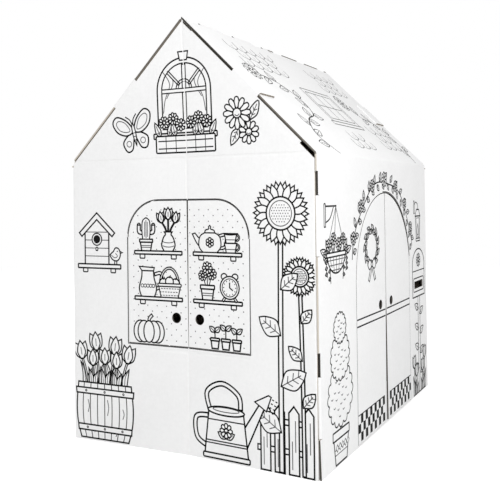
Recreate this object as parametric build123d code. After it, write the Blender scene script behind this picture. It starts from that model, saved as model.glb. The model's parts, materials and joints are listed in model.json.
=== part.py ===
from build123d import *
import math
import os

# A child's playhouse folded from two sheets of corrugated board. Both sheets are cut on one die:
# a gable end with a pair of shutters, a side wall with a pair of doors, and the roof slope above
# that wall. The second sheet is the first one turned half round, so every joint appears twice.
# Millimetres. The origin is the middle of the footprint, on the floor. +Z is up, the first
# sheet's gable faces -Y and the second sheet's doors face +X.

# Overall sizes
gable_width = 689.0
wall_length = 813.0
eave_height = 696.0
ridge_height = 1027.0

# The board, its bends and its creases
board = 4.0
fit = 0.4             # space between two boards that lie face to face
side_play = 1.0       # space beside a tab in its slot
edge_set = 0.5        # how far a covering board's raw edge stops short of its corner
wall_bend = 8.0       # outside radius where the gable turns into the wall
eave_bend = 9.0       # outside radius where the wall turns into the roof
tight_bend = 5.0      # outside radius of flanges and tabs
valley_depth = 15.0   # how far the gable's middle crease stands in from its corners
crease_width = 8.0    # the press crushes a shallow, rounded band along each crease
crease_depth = 0.6
crease_stop = 6.0     # the gable's creases stop this far short of where they cross

# Corner joints: the gable's flange runs behind the next sheet's wall, whose tabs go through
# slots at the fold
flange_width = 60.0
tab_reach = 45.0
slot_lip = 6.0                     # from the corner to the slot's edge on the gable's face
corner_tab_feet = (88.0, 474.0)    # heights of the tabs' lower edges
corner_tab_width = 130.0
corner_slot_length = 182.0
foot_gap = 6.0                     # the wall's edge tapers back to this at the floor
flange_foot_set = (5.0, 7.0)       # the gable ends here below the first tab, at its foot and at the floor

# Ridge joint: the same joint, with each slope covering the other for half the ridge
ridge_flange_width = 45.0
ridge_tab_first = 12.0             # from the gable
ridge_tab_width = 56.0
ridge_tab_pitch = 152.0
ridge_slot_length = 66.0
ridge_meeting = 1.0                # each half of the joint stops this far from the middle
ridge_relief = 30.0                # width and height of the slit that parts the two halves

# Rake joints: a tab of the gable folds over the roof's edge and tucks in through a slot
rake_gap = 3.0                     # between the gable's edge and the underside of the roof
rake_tab_from_ridge = 195.0
rake_tab_width = 90.0
rake_slot_inset = 70.0
rake_tip_depth = 26.0
eave_relief_length = 43.0          # deeper gap beside the eave that the next sheet makes
eave_relief_depth = 6.0
shoulder_drop = 12.0               # the gable and its corner strip stop this far below the eave
corner_relief = 17.0               # square hole where the creases of gable, wall and roof meet

# Shutters
window_width = 341.0
window_sill = 252.0
window_top = 597.0
window_corner = 88.0
sill_crease_drop = 12.0
shutter_kerf = 2.0
shutter_gap = (4.0, 1.0)           # between the shutters, at their top and at the sill
finger_hole = 25.0
shutter_hole_height = 319.0
shutter_hole_spacing = 66.0

# Doors and letter slot
door_offset = 17.5                 # from the middle of the wall, towards its folded corner
door_width = 416.0
door_top = 609.0
door_kerf = 2.5
door_gap_steps = ((335.0, 2.5), (270.0, 8.0), (0.0, 16.0))  # height and width of the gap between the doors
leaf_slack = 6.0                   # how much flatter the second leaf is cut than its arch
door_foot_clear = 4.0
door_hole_height = 317.0
door_hole_spacing = 84.0
letter_slot_height = 330.0
letter_slot_size = (84.0, 22.0)
letter_slot_corner = 3.0

# What follows from them
half_width = gable_width / 2
half_length = wall_length / 2
gable_rise = ridge_height - eave_height
pitch = math.atan2(gable_rise, half_width)
slope_length = math.hypot(gable_rise, half_width)
lap = board + fit                                              # one board and its clearance
gable_lean = math.atan2(valley_depth, half_width)
gable_thickness = board / math.cos(gable_lean)                 # measured along Y
shoulder_height = eave_height - shoulder_drop
rake_depth = board + rake_gap                                  # from the roof's face to the gable's edge
tab_root = lap + tight_bend + 1.0
ridge_tab_count = 1 + int((half_length - ridge_tab_first - ridge_slot_length) // ridge_tab_pitch)
door_centre = half_length + door_offset                        # along the wall, from its free edge
letter_slot_centre = (door_centre + door_width / 2 + wall_length) / 2
past = 2.0                                                     # how far cutters reach past their cut
floor_plan = Plane.XY
cross_section = Plane.XZ
wall_face = Plane((-half_width, half_length, 0), x_dir=(0, -1, 0), z_dir=(-1, 0, 0))


def bent_section(points, radii, plane=floor_plan):
    """Section of a board bent along its outer face, with the board on the path's right."""
    path = plane * FilletPolyline(*points, radius=radii)
    return make_face(offset(path, amount=board, side=Side.RIGHT, kind=Kind.INTERSECTION))


def prism(outline, height):
    """Extrude a face that is drawn flat, upwards."""
    return extrude(outline, height, dir=(0, 0, 1))


def along_y(outline, start, end):
    """Extrude a face of the cross-section plane from one station on Y to another."""
    return Pos(0, start, 0) * extrude(outline, end - start, dir=(0, 1, 0))


def crease(start, end, outward):
    """Pressed crease: a shallow band with a round bottom between two points of a board's outer face."""
    line = Vector(*end) - Vector(*start)
    half = crease_width / 2
    bottom = ThreePointArc((-half, 0), (0, -crease_depth), (half, 0))
    rim = Polyline((half, 0), (half, past), (-half, past), (-half, 0))
    section = Plane(start, x_dir=Vector(*outward).cross(line), z_dir=line) * make_face([bottom, rim])
    return extrude(section, line.length, dir=line)


class Joint:
    """Section of a corner where one sheet's board covers the other's flange.

    The receiving board ends in a fold and runs on as a flange behind the covering board. The
    covering board has the raw edge, and its tabs bend in through slots at that fold. Both
    directions lead away from the corner.
    """

    def __init__(self, corner, receiver, cover):
        self.corner = Vector(*corner)
        self.receiver = Vector(*receiver).normalized()
        self.cover = Vector(*cover).normalized()
        self.into_house = (self.cover - self.receiver * self.receiver.dot(self.cover)).normalized()
        self.behind_cover = (self.receiver - self.cover * self.receiver.dot(self.cover)).normalized()
        self.sine = self.cover.dot(self.into_house)
        self.fold = self.corner + self.receiver * (lap / self.sine)
        self.bend = self.corner + self.cover * (lap / self.sine)

    def flange_end(self, width):
        return self.fold + self.cover * width

    def at(self, along, depth):
        """Point by its distance along the receiving board and its depth behind that board's face."""
        return self.corner + self.receiver * along + self.into_house * depth

    def tab_path(self):
        return [self.corner + self.cover * tab_root, self.bend, self.bend + self.receiver * tab_reach]

    def slot_outline(self):
        """What is cut from the receiving sheet: the fold itself, and the flange where the tab passes."""
        throat = lap + board + tight_bend
        deep = lap + board + 2 * fit
        steps = [(slot_lip, -past), (slot_lip, board), (throat, board), (throat, deep),
                 (-past, deep), (-past, -past)]
        return make_face(Polyline(*[self.at(*step) for step in steps], close=True))

    def cover_strip(self, depth):
        """Outline that trims the covering board's raw edge back to a depth."""
        front, back = self.behind_cover * -past, self.behind_cover * (2 * board)
        near, far = self.corner - self.cover * past, self.corner + self.cover * depth
        return make_face(Polyline(near + front, near + back, far + back, far + front, close=True))


front_right = Joint((half_width, -half_length), (-half_width, valley_depth), (0, 1))
back_left = Joint((-half_width, half_length), (half_width, -valley_depth), (0, -1))
up_left_slope = Vector(math.cos(pitch), math.sin(pitch))
up_right_slope = Vector(-math.cos(pitch), math.sin(pitch))
ridge_over_left = Joint((0, ridge_height), up_left_slope * -1, up_right_slope * -1)
ridge_over_right = Joint((0, ridge_height), up_right_slope * -1, up_left_slope * -1)


def gable_face_y(x, z=0.0):
    """Where the front gable's outer face lies: its creases fold it inwards towards the middle."""
    inward = valley_depth * (1 - abs(x) / half_width)
    raised = valley_depth * max(0.0, z - eave_height) / gable_rise
    return inward - raised - half_length


def on_gable(x, z):
    return (x, gable_face_y(x, z), z)


def rake_point(station, depth):
    """Elevation of a point on the right rake: distance from the ridge, depth below the roof's outside."""
    down, across = slope_length - station, depth
    x = half_width - down * math.cos(pitch) - across * math.sin(pitch)
    z = eave_height + down * math.sin(pitch) - across * math.cos(pitch)
    return x, z


def shoulder_point(depth):
    """Where the line at that depth below the right rake comes down to the shoulder's height."""
    down = (depth * math.cos(pitch) - shoulder_drop) / math.sin(pitch)
    return rake_point(slope_length - down, depth)


def gable_outline():
    """The gable's cut edge in elevation: shoulders, rakes, apex, and the relief beside the right eave."""
    deep = rake_depth + eave_relief_depth
    relief_station = slope_length - eave_relief_length
    outside = half_width + board
    right = [(outside, -past), (outside, shoulder_height), shoulder_point(deep),
             rake_point(relief_station, deep), rake_point(relief_station, rake_depth)]
    apex = (0, ridge_height - rake_depth / math.cos(pitch))
    left = [(-x, z) for x, z in (shoulder_point(rake_depth), (outside, shoulder_height), (outside, -past))]
    return make_face(cross_section * Polyline(*right, apex, *left, close=True))


def upper_facet(side):
    """Half of the gable's triangle, which leans from the eave crease out to the rake."""
    middle, eave, ridge = (0, eave_height), (side * half_width, eave_height), (0, ridge_height)
    facet = Polyline(on_gable(*middle), on_gable(*eave), on_gable(*ridge), close=True)
    return extrude(make_face(facet), gable_thickness, dir=(0, 1, 0))


def walls():
    """Flange, gable, corner strip and side wall in one bent board, with the gable's triangle on top."""
    free_edge = back_left.corner + back_left.cover * edge_set
    path = [front_right.flange_end(flange_width), front_right.fold, Vector(0, gable_face_y(0)),
            Vector(-half_width, -half_length), free_edge]
    low = prism(bent_section(path, [tight_bend, 0, wall_bend]), eave_height)
    full = low + upper_facet(-1) + upper_facet(1)
    return full & along_y(gable_outline(), -half_length - past, half_length + past)


def roof():
    """The slope above the wall: a flange at the ridge over the front half, a raw edge over the back."""
    foot = [Vector(-half_width, shoulder_height), Vector(-half_width, eave_height)]
    flange_end = ridge_over_left.flange_end(ridge_flange_width)
    raw_edge = ridge_over_right.corner + ridge_over_right.cover * edge_set
    flanged = bent_section([*foot, ridge_over_left.fold, flange_end], [eave_bend, tight_bend], cross_section)
    covering = bent_section([*foot, raw_edge], [eave_bend], cross_section)
    front = along_y(flanged, -half_length, 0)
    back = along_y(covering, 0, half_length)
    slope = front + back
    crown = cross_section * Pos(0, ridge_height) * Rectangle(ridge_relief, ridge_relief)
    slope -= along_y(crown, -ridge_meeting, ridge_meeting)
    eave_corner = cross_section * Pos(-half_width, eave_height) * Rectangle(corner_relief, corner_relief)
    return slope - along_y(eave_corner, -half_length - past, wall_bend - half_length)


def corner_slots():
    """Slots at the gable's flange fold, open above each tab so that it can be pushed in and slid down."""
    slot = prism(front_right.slot_outline(), corner_slot_length)
    return [Pos(0, 0, foot - side_play) * slot for foot in corner_tab_feet]


def corner_notches():
    """What the wall's raw edge loses: beside each tab, along each open slot, and a taper at the floor."""
    notches = []
    beside_tab = prism(back_left.cover_strip(tab_root), corner_tab_width + 2 * side_play)
    beside_slot = prism(back_left.cover_strip(slot_lip), corner_slot_length - corner_tab_width)
    for foot in corner_tab_feet:
        notches.append(Pos(0, 0, foot - side_play) * beside_tab)
        notches.append(Pos(0, 0, foot + corner_tab_width) * beside_slot)
    first = min(corner_tab_feet)
    taper = Polyline((-past, -past), (foot_gap, -past), (edge_set, first), (-past, first), close=True)
    notches.append(wall_face * Pos(0, 0, -board - past) * prism(make_face(taper), board + 2 * past))
    return notches


def flange_foot():
    """What the gable loses at its flange fold below the first tab, so that the corner stands clear."""
    top = min(corner_tab_feet) - side_play
    upper, lower = flange_foot_set
    outline = Polyline((half_width - lower, -past), (half_width - upper, top),
                       (half_width + past, top), (half_width + past, -past), close=True)
    back = front_right.flange_end(flange_width).Y + past
    return along_y(make_face(cross_section * outline), -half_length - past, back)


def corner_tabs():
    section = bent_section(back_left.tab_path(), [tight_bend])
    return [Pos(0, 0, foot) * prism(section, corner_tab_width) for foot in corner_tab_feet]


def ridge_stations():
    return [ridge_tab_first + i * ridge_tab_pitch for i in range(ridge_tab_count)]


def ridge_slots():
    """Slots at the ridge fold of the front half, measured from the front gable."""
    outline = cross_section * ridge_over_left.slot_outline()
    starts = [station - side_play - half_length for station in ridge_stations()]
    return [along_y(outline, start, start + ridge_slot_length) for start in starts]


def ridge_notches():
    """Trims beside the tabs of the back half, measured from the back gable."""
    outline = cross_section * ridge_over_right.cover_strip(tab_root)
    ends = [half_length - station + side_play for station in ridge_stations()]
    return [along_y(outline, end - ridge_tab_width - 2 * side_play, end) for end in ends]


def ridge_tabs():
    points = list(reversed(ridge_over_right.tab_path()))
    section = bent_section(points, [tight_bend], cross_section)
    ends = [half_length - station for station in ridge_stations()]
    return [along_y(section, end - ridge_tab_width, end) for end in ends]


down_right_slope = (math.cos(pitch), 0, -math.sin(pitch))
rake_stations = Plane((0, -half_length, ridge_height), x_dir=(0, 1, 0), z_dir=down_right_slope)
rake_face_inset = valley_depth * rake_depth / (half_width * math.sin(pitch))


def on_rake(outline, start, width):
    """Extrude a section across the front rake of the right slope, from a station below the ridge."""
    return rake_stations.offset(start) * prism(outline, width)


def rake_tab():
    """The gable's tab: up past the rake, over the roof's edge and down through the roof's slot."""
    path = [(rake_face_inset, -rake_depth), (rake_face_inset, lap), (rake_slot_inset, lap),
            (rake_slot_inset, -rake_tip_depth)]
    return on_rake(bent_section(path, [tight_bend, tight_bend]), rake_tab_from_ridge, rake_tab_width)


def rake_cutter():
    """What the roof loses for that tab: a notch in its edge and the slot."""
    notch_in = rake_face_inset + gable_thickness + fit
    notch = Pos((notch_in - past) / 2, -board / 2) * Rectangle(notch_in + past, board + 2 * past)
    slot_width = board + 2 * fit
    slot = Pos(rake_slot_inset - board / 2, -board / 2) * Rectangle(slot_width, board + 2 * past)
    width = rake_tab_width + 2 * side_play
    start = rake_tab_from_ridge - side_play
    return on_rake(notch, start, width) + on_rake(slot, start, width)


def window_cuts():
    """Kerfs round the shutters and between them, and their finger holes."""
    half = window_width / 2
    spring = window_top - window_corner
    level = half - window_corner
    lines = [Line((-half, window_sill), (half, window_sill)), Line((-level, window_top), (level, window_top)),
             CenterArc((-level, spring), window_corner, 90, 90),
             CenterArc((level, spring), window_corner, 0, 90)]
    kerf = trace(lines, line_width=shutter_kerf)
    top, sill = [width / 2 for width in shutter_gap]
    gap = [(-top, window_top), (-sill, window_sill), (sill, window_sill), (top, window_top)]
    kerf += make_face(Polyline(*gap, close=True))
    for side in (-1, 1):
        kerf += Pos(side * shutter_hole_spacing / 2, shutter_hole_height) * Circle(finger_hole / 2)
    return along_y(cross_section * kerf, -half_length - past, valley_depth + 2 * board - half_length)


def door_cuts():
    """Kerf round the arch, gap between the doors, clearance at their feet, finger holes, letter slot."""
    radius = door_width / 2
    spring = door_top - radius
    cuts = trace([CenterArc((0, spring), radius, 0, 180)], line_width=door_kerf)
    leaf_edge = math.sqrt(0.5) * (radius - leaf_slack)
    slack = [CenterArc((0, spring), radius, 0, 90),
             ThreePointArc((0, door_top), (leaf_edge, spring + leaf_edge), (radius, spring))]
    cuts += make_face(slack)
    right = [(door_kerf / 2, door_top)] + [(width / 2, height) for height, width in door_gap_steps]
    left = [(-x, height) for x, height in reversed(right)]
    cuts += make_face(Polyline(*right, *left, close=True))
    cuts += Pos(0, (door_foot_clear - past) / 2) * Rectangle(door_width, door_foot_clear + past)
    for side in (-1, 1):
        cuts += Pos(side * door_hole_spacing / 2, door_hole_height) * Circle(finger_hole / 2)
    cuts = Pos(door_centre) * cuts
    letter_slot = RectangleRounded(*letter_slot_size, letter_slot_corner)
    cuts += Pos(letter_slot_centre, letter_slot_height) * letter_slot
    return wall_face * Pos(0, 0, -board - past) * prism(cuts, board + 2 * past)


def gable_creases():
    """The gable's folds across the eaves and up its middle, the shutters' hinges and a line below them."""
    half = window_width / 2
    spring = window_top - window_corner
    below = window_sill - sill_crease_drop
    lines = [((0, 0), (0, window_sill)), ((0, window_top), (0, eave_height - crease_stop))]
    lines.append(((0, eave_height + crease_stop), (0, ridge_height)))
    for side in (-1, 1):
        lines.append(((side * half_width, eave_height), (side * crease_stop, eave_height)))
        lines.append(((side * half, window_sill), (side * half, spring)))
        lines.append(((side * half, below), (0, below)))
    return [crease(on_gable(*start), on_gable(*end), (0, -1, 0)) for start, end in lines]


def door_creases():
    bands = []
    for side in (-1, 1):
        hinge = door_centre + side * door_width / 2
        foot, top = wall_face * Pos(hinge, 0), wall_face * Pos(hinge, door_top - door_width / 2)
        bands.append(crease(foot.position, top.position, wall_face.z_dir))
    return bands


def sheet():
    """One whole sheet: the front gable, the left wall and the left slope."""
    blank = walls() + roof()
    blank -= corner_slots() + corner_notches() + [flange_foot()] + ridge_slots() + ridge_notches()
    cutter = rake_cutter()
    tab = rake_tab()
    blank -= [mirror(cutter, about=Plane.YZ), Rot(0, 0, 180) * cutter]
    blank = blank + corner_tabs() + ridge_tabs() + [tab, mirror(tab, about=Plane.YZ)]
    blank -= [window_cuts(), door_cuts()]
    for band in gable_creases() + door_creases():
        blank -= band
    return blank


first = sheet()
sheets = {"front_and_left_sheet": first, "back_and_right_sheet": Rot(0, 0, 180) * first}
os.makedirs("parts", exist_ok=True)
for name, shape in sheets.items():
    solids = shape.solids()
    print(name, len(solids), "solid", round(sum(s.volume for s in solids) / 1000), "cm3")
    export_step(shape, f"parts/{name}.step")
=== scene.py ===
# %% [markdown]
# # A cardboard playhouse
# Two sheets of white corrugated board, each die-cut and folded into a gable end, a side wall
# and a roof slope, lock into each other with tabs and slots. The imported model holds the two
# folded sheets at their real size. This lesson gives them their paper faces, their cut edges
# and their line print, and sets up the camera and the light.

# %% Load the folded sheets
import json
import math

import bmesh
import bpy
from mathutils import Matrix, Vector
from mathutils.bvhtree import BVHTree

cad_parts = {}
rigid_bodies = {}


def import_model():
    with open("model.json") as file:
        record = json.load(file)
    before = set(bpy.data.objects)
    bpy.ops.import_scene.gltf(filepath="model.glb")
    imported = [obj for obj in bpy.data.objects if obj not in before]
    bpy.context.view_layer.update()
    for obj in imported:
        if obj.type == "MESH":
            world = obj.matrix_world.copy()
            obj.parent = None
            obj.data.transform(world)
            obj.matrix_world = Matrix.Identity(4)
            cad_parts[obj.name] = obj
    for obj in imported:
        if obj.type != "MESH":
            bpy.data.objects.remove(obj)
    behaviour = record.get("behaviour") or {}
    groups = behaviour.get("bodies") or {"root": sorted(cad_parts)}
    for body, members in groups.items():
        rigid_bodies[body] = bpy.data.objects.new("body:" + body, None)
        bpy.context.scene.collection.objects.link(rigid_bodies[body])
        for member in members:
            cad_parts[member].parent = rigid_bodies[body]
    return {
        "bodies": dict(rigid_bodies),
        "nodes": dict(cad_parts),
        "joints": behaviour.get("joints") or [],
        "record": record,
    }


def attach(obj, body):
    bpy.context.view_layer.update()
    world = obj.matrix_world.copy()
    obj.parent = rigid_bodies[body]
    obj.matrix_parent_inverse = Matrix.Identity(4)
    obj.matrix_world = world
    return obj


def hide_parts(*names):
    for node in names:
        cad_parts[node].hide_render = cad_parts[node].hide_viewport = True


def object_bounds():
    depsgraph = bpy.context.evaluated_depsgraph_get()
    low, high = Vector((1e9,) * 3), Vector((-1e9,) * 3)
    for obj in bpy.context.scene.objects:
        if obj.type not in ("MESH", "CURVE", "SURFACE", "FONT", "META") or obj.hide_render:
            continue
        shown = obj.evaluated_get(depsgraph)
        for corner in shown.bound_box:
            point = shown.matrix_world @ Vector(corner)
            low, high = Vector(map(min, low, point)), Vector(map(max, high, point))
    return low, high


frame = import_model()
cad_box = [list(corner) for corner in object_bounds()]
print("sheets", sorted(frame["nodes"]), "box", cad_box)

# %% [markdown]
# The house's own measures come first. Everything that is drawn or placed later is worked out
# from them. The board is 4 mm thick, and the middle crease of each gable stands 15 mm inside
# the line of its corners, which keeps the tall flat wall stiff.

# %% Measures of the house, in metres
half_width = cad_box[1][0]
half_length = cad_box[1][1]
eave_height = 0.696
ridge_height = 1.027
roof_rise = ridge_height - eave_height
board = 0.004
valley_depth = 0.015
pitch = math.atan2(roof_rise, half_width)
millimetre = 0.001
print("roof pitch", round(math.degrees(pitch), 1), "slope", round(math.hypot(roof_rise, half_width), 4))

# %% [markdown]
# The camera stands in front of the house and to its right, at about the height of the door
# arch. The picture is a crop, so the lens's axis doesn't meet the middle of the frame: the two
# shift values say where it does. Yaw, pitch and roll turn three plain axes, and those become
# the columns of the camera's matrix.

# %% The camera
picture_size = 500
focal_pixels = 685.5
axis_pixel = (314.84, 186.74)
camera_place = Vector((0.9621, -1.7199, 0.6011))
camera_yaw, camera_pitch, camera_roll = -0.4425, 0.0146, -0.0133


def new_object(name, data):
    thing = bpy.data.objects.new(name, data)
    bpy.context.scene.collection.objects.link(thing)
    return thing


def make_camera():
    data = bpy.data.cameras.new("camera")
    data.sensor_width = 36
    data.lens = data.sensor_width * focal_pixels / picture_size
    data.shift_x = 0.5 - axis_pixel[0] / picture_size
    data.shift_y = axis_pixel[1] / picture_size - 0.5
    ahead = Vector((math.sin(camera_yaw) * math.cos(camera_pitch),
                    math.cos(camera_yaw) * math.cos(camera_pitch), math.sin(camera_pitch)))
    level = Vector((math.cos(camera_yaw), -math.sin(camera_yaw), 0))
    above = level.cross(ahead)
    right = level * math.cos(camera_roll) + above * math.sin(camera_roll)
    up = above * math.cos(camera_roll) - level * math.sin(camera_roll)
    camera = new_object("camera", data)
    turn = Matrix((right, up, -ahead)).transposed().to_4x4()
    camera.matrix_world = Matrix.Translation(camera_place) @ turn
    bpy.context.scene.camera = camera
    return data


lens = make_camera()
print("lens", round(lens.lens, 2), "mm, shift", round(lens.shift_x, 4), round(lens.shift_y, 4))

# %% [markdown]
# Corrugated board is three papers: a white liner outside, a plain liner inside, and a wavy one
# between them that only shows where the board is cut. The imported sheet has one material, so a
# copy of it is made, its loose triangles are merged, and its faces are sorted into those three.
# A face is a liner when another face lies one board's thickness behind it. Looking for that face
# with a ray is surer than any rule on where faces lie, because the sheet folds in every direction.

# %% Find the liner faces
def merged_copy(node):
    bm = bmesh.new()
    bm.from_mesh(frame["nodes"][node].data)
    bmesh.ops.remove_doubles(bm, verts=bm.verts, dist=1e-6)
    return bm


def find_liners(bm):
    """The faces whose ray finds another face behind the board, looking almost the other way."""
    tree = BVHTree.FromBMesh(bm)
    just_inside, reach, opposite = 1e-4, board * 1.25, -0.8
    liners = set()
    for face in bm.faces:
        start = face.calc_center_median() - face.normal * just_inside
        normal = tree.ray_cast(start, -face.normal, reach)[1]
        if normal is not None and normal.dot(face.normal) < opposite:
            liners.add(face)
    return liners


first_sheet = merged_copy(min(frame["nodes"]))
print(len(find_liners(first_sheet)), "of a sheet's", len(first_sheet.faces), "faces are liner")
first_sheet.free()

# %% [markdown]
# The liners hang together over every fold, because a fold is a bend with a radius. So each
# connected group of liner faces is all outside or all inside, and the side is the one that
# most of its area looks to. What is left is cut edge, apart from the shallow ends of the pressed
# creases, which touch no inside liner and keep the outside paper.

# %% Sort the faces into outside, inside and cut edge
OUTSIDE, INSIDE, CUT = 0, 1, 2
house_middle = Vector((0, 0, 0.45))
fold_limit = math.radians(60)


def spread(start, allowed, turn_limit):
    """All faces that can be reached from one, over edges that turn less than the limit."""
    group, waiting = {start}, [start]
    while waiting:
        face = waiting.pop()
        for edge in face.edges:
            for other in edge.link_faces:
                if other in allowed and other not in group and edge.calc_face_angle(0) < turn_limit:
                    group.add(other)
                    waiting.append(other)
    return group


def groups_of(faces, turn_limit):
    unsorted = set(faces)
    while unsorted:
        group = spread(next(iter(unsorted)), faces, turn_limit)
        unsorted -= group
        yield group


def sort_faces(bm):
    liners = find_liners(bm)
    for group in groups_of(liners, fold_limit):
        outward = sum(f.normal.dot(f.calc_center_median() - house_middle) * f.calc_area() for f in group)
        for face in group:
            face.material_index = OUTSIDE if outward > 0 else INSIDE
    for group in groups_of(set(bm.faces) - liners, math.pi):
        neighbours = [f for face in group for edge in face.edges for f in edge.link_faces]
        beside = {f.material_index for f in neighbours if f in liners}
        for face in group:
            face.material_index = CUT if INSIDE in beside or not beside else OUTSIDE


print("a fold turns less than", round(math.degrees(fold_limit)), "degrees from face to face")

# %% [markdown]
# Raw edges aren't all one tone, and their colour carries painted light and shade. The roof's edges
# at the ridge and the upper rakes, the narrow kerfs round the doors and shutters and the corner's
# slot openings are painted dark as the shade in the gaps round them. The corner edge is painted
# darker towards the floor, and the walls' upright edges paler than plain paper. Each cut face
# therefore gets a number that says how light it is painted, where 1 is plain paper.

# %% How light each raw edge is painted, with painted shade
slot_openings, slot_height = (0.218, 0.604), 0.052
foot_taper = 0.086
shutter_span = (0.24, 0.61)
door_span = (0.2, 0.78)
# Painted shade and light on raw edges: the values below 1 stand for the shade in gaps round the edges, and
# the value above 1 makes open upright edges paler than plain paper.
shadow, painted_shade, half_lit, plain_edge, pale_edge = 0.12, 0.3, 0.4, 1.0, 1.4


# Painted shade: the roof's raw edges along the ridge and the upper half of the rakes are painted dark as the
# shadow in the gaps under them. Lower down, one rake is painted half dark and the other grows lighter towards
# the eave.
def roof_edge_light(place, normal):
    down = (ridge_height - place.z) / roof_rise
    if abs(normal.y) < 0.9:
        return painted_shade if place.z > ridge_height - 0.03 else pale_edge
    if place.x * place.y < 0:
        return shadow if down < 0.5 else half_lit
    return painted_shade if down < 0.5 else 0.8 + 1.2 * (down - 0.5)


# Painted shade: the shutter kerfs, the door kerfs and the slot openings at the wall's corner are painted dark
# as the shade in those gaps, and the corner edge is painted darker towards the floor as the shade at its
# foot. Upright edges are painted paler than plain paper.
def edge_light(face, on_gable):
    place, normal = face.calc_center_median(), face.normal
    along_wall = half_length + math.copysign(place.y, place.x * place.y)
    upright = abs(normal.z) < 0.3
    if on_gable:
        if abs(place.x) < 0.18 and shutter_span[0] < place.z < shutter_span[1]:
            return 0.35
    elif place.z > eave_height - board:
        return roof_edge_light(place, normal)
    elif door_span[0] < along_wall < door_span[1] and place.z > 0.006:
        return painted_shade
    elif along_wall < 0.02 and upright:
        if any(low < place.z < low + slot_height for low in slot_openings):
            return 0.1
        return shadow + 1.6 * place.z if place.z < foot_taper else 1.3
    return pale_edge if upright else plain_edge


print("raw edges are between", shadow, "and", pale_edge, "times as light as plain paper")

# %% [markdown]
# A UV map lays each paper flat. Across the flutes it holds real metres, because the waves of the
# middle paper run up the walls and up the slopes. On a cut edge the other direction runs from 0 at
# the outside paper to 1 at the inside one, so that one wave fits the thickness of the board
# wherever it is cut. Two attributes go with it: the edge's painted light and shade, and whether the
# cut runs along the flutes. There it shows the side of one wave and no gaps, and so does the
# crushed end of a tab.

# %% Lay the papers flat
def runs_along_gable(face):
    """Whether the board here faces front or back, so that its flutes are counted along X."""
    liners = [f for e in face.edges for f in e.link_faces if f.material_index != CUT]
    normals = [f.normal for f in (liners or [face])]
    return sum(abs(n.y) for n in normals) / len(normals) > 0.7


def lay_flat(bm):
    flat = bm.loops.layers.uv.new("flat")
    light = bm.faces.layers.float.new("edge_light")
    along = bm.faces.layers.float.new("along_flutes")
    for face in bm.faces:
        across = 0 if runs_along_gable(face) else 1
        cut = face.material_index == CUT
        if cut:
            face[light] = edge_light(face, across == 0)
            on_tab = abs(face.calc_center_median().y) > half_length - 0.1
            crushed = face.normal.z > 0.3 and across == 1 and on_tab
            face[along] = 1.0 if crushed or abs(face.normal[across]) > 0.9 else 0.0
        for loop in face.loops:
            outer = any(f.material_index == OUTSIDE for f in loop.vert.link_faces)
            depth = 0.0 if outer else 1.0
            loop[flat].uv = (loop.vert.co[across], depth if cut else loop.vert.co.z)


print("the map runs over", round(2 * half_width, 3), "m of gable and", round(2 * half_length, 3), "m of wall")

# %% [markdown]
# The shading follows the faces smoothly round the bends, and breaks at the cut edges. Marking
# sharp edges and adding Weighted Normal does that without changing the shape.

# %% Build the paper sheets
sharp_turn = math.radians(25)


def paper_sheet(node):
    bm = merged_copy(node)
    sort_faces(bm)
    lay_flat(bm)
    for edge in bm.edges:
        kinds = {face.material_index for face in edge.link_faces}
        edge.smooth = len(kinds) == 1 and edge.calc_face_angle(0) < sharp_turn
    for face in bm.faces:
        face.smooth = True
    mesh = bpy.data.meshes.new(node + "_paper")
    bm.to_mesh(mesh)
    counts = [sum(f.material_index == kind for f in bm.faces) for kind in (OUTSIDE, INSIDE, CUT)]
    bm.free()
    sheet = new_object(node + "_paper", mesh)
    normals = sheet.modifiers.new("even shading", "WEIGHTED_NORMAL")
    normals.keep_sharp = True
    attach(sheet, "root")
    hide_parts(node)
    print(sheet.name, "outside, inside, cut faces:", counts)
    return sheet


sheets = [paper_sheet(node) for node in sorted(frame["nodes"])]

# %% [markdown]
# A material is a graph of nodes. These small helpers add a node with its input values and join
# sockets, so that each material below reads as a short recipe. Noise reads Object coordinates,
# which are the same whatever way a face looks, so it shows no seams at the folds.

# %% Helpers for materials
def give(tree, node, inputs):
    """Sets each input to a value, or joins it to another node's socket."""
    for name, value in inputs.items():
        if isinstance(value, bpy.types.NodeSocket):
            tree.links.new(value, node.inputs[name])
        else:
            node.inputs[name].default_value = value


def add(tree, kind, inputs=None, **settings):
    node = tree.nodes.new("ShaderNode" + kind)
    for name, value in settings.items():
        setattr(node, name, value)
    give(tree, node, inputs or {})
    return node


def maths(tree, operation, *values):
    return add(tree, "Math", dict(enumerate(values)), operation=operation).outputs[0]


def noise(tree, scale, detail, roughness=0.5):
    place = add(tree, "TexCoord").outputs["Object"]
    inputs = {"Vector": place, "Scale": scale, "Detail": detail, "Roughness": roughness}
    return add(tree, "TexNoise", inputs).outputs["Fac"]


def bump(tree, height, strength, distance, below=None):
    inputs = {"Height": height, "Strength": strength, "Distance": distance}
    if below:
        inputs["Normal"] = below
    return add(tree, "Bump", inputs).outputs["Normal"]


def shades(tree, factor, low, high, start=0.0, end=1.0):
    """Two colours mixed by a factor, which changes them between start and end."""
    ramp = add(tree, "ValToRGB", {"Fac": factor})
    for element, position, colour in zip(ramp.color_ramp.elements, (start, end), (low, high)):
        element.position = position
        element.color = (*colour, 1)
    return ramp.outputs["Color"]


def new_material(name):
    material = bpy.data.materials.new(name)
    material.use_nodes = True
    return material, material.node_tree, material.node_tree.nodes["Principled BSDF"]


# %% [markdown]
# Printed liner paper is almost smooth. Three things keep it from looking like plastic: long soft
# shadows of the flutes pressing through, a fine felt of fibres, and slow clouds a shade darker
# and lighter. All three are faint, and the flutes show only where light grazes the wall.

# %% The liner papers
flute_pitch = 0.0078
wave_length_at_scale_one = math.pi / 10


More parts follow.
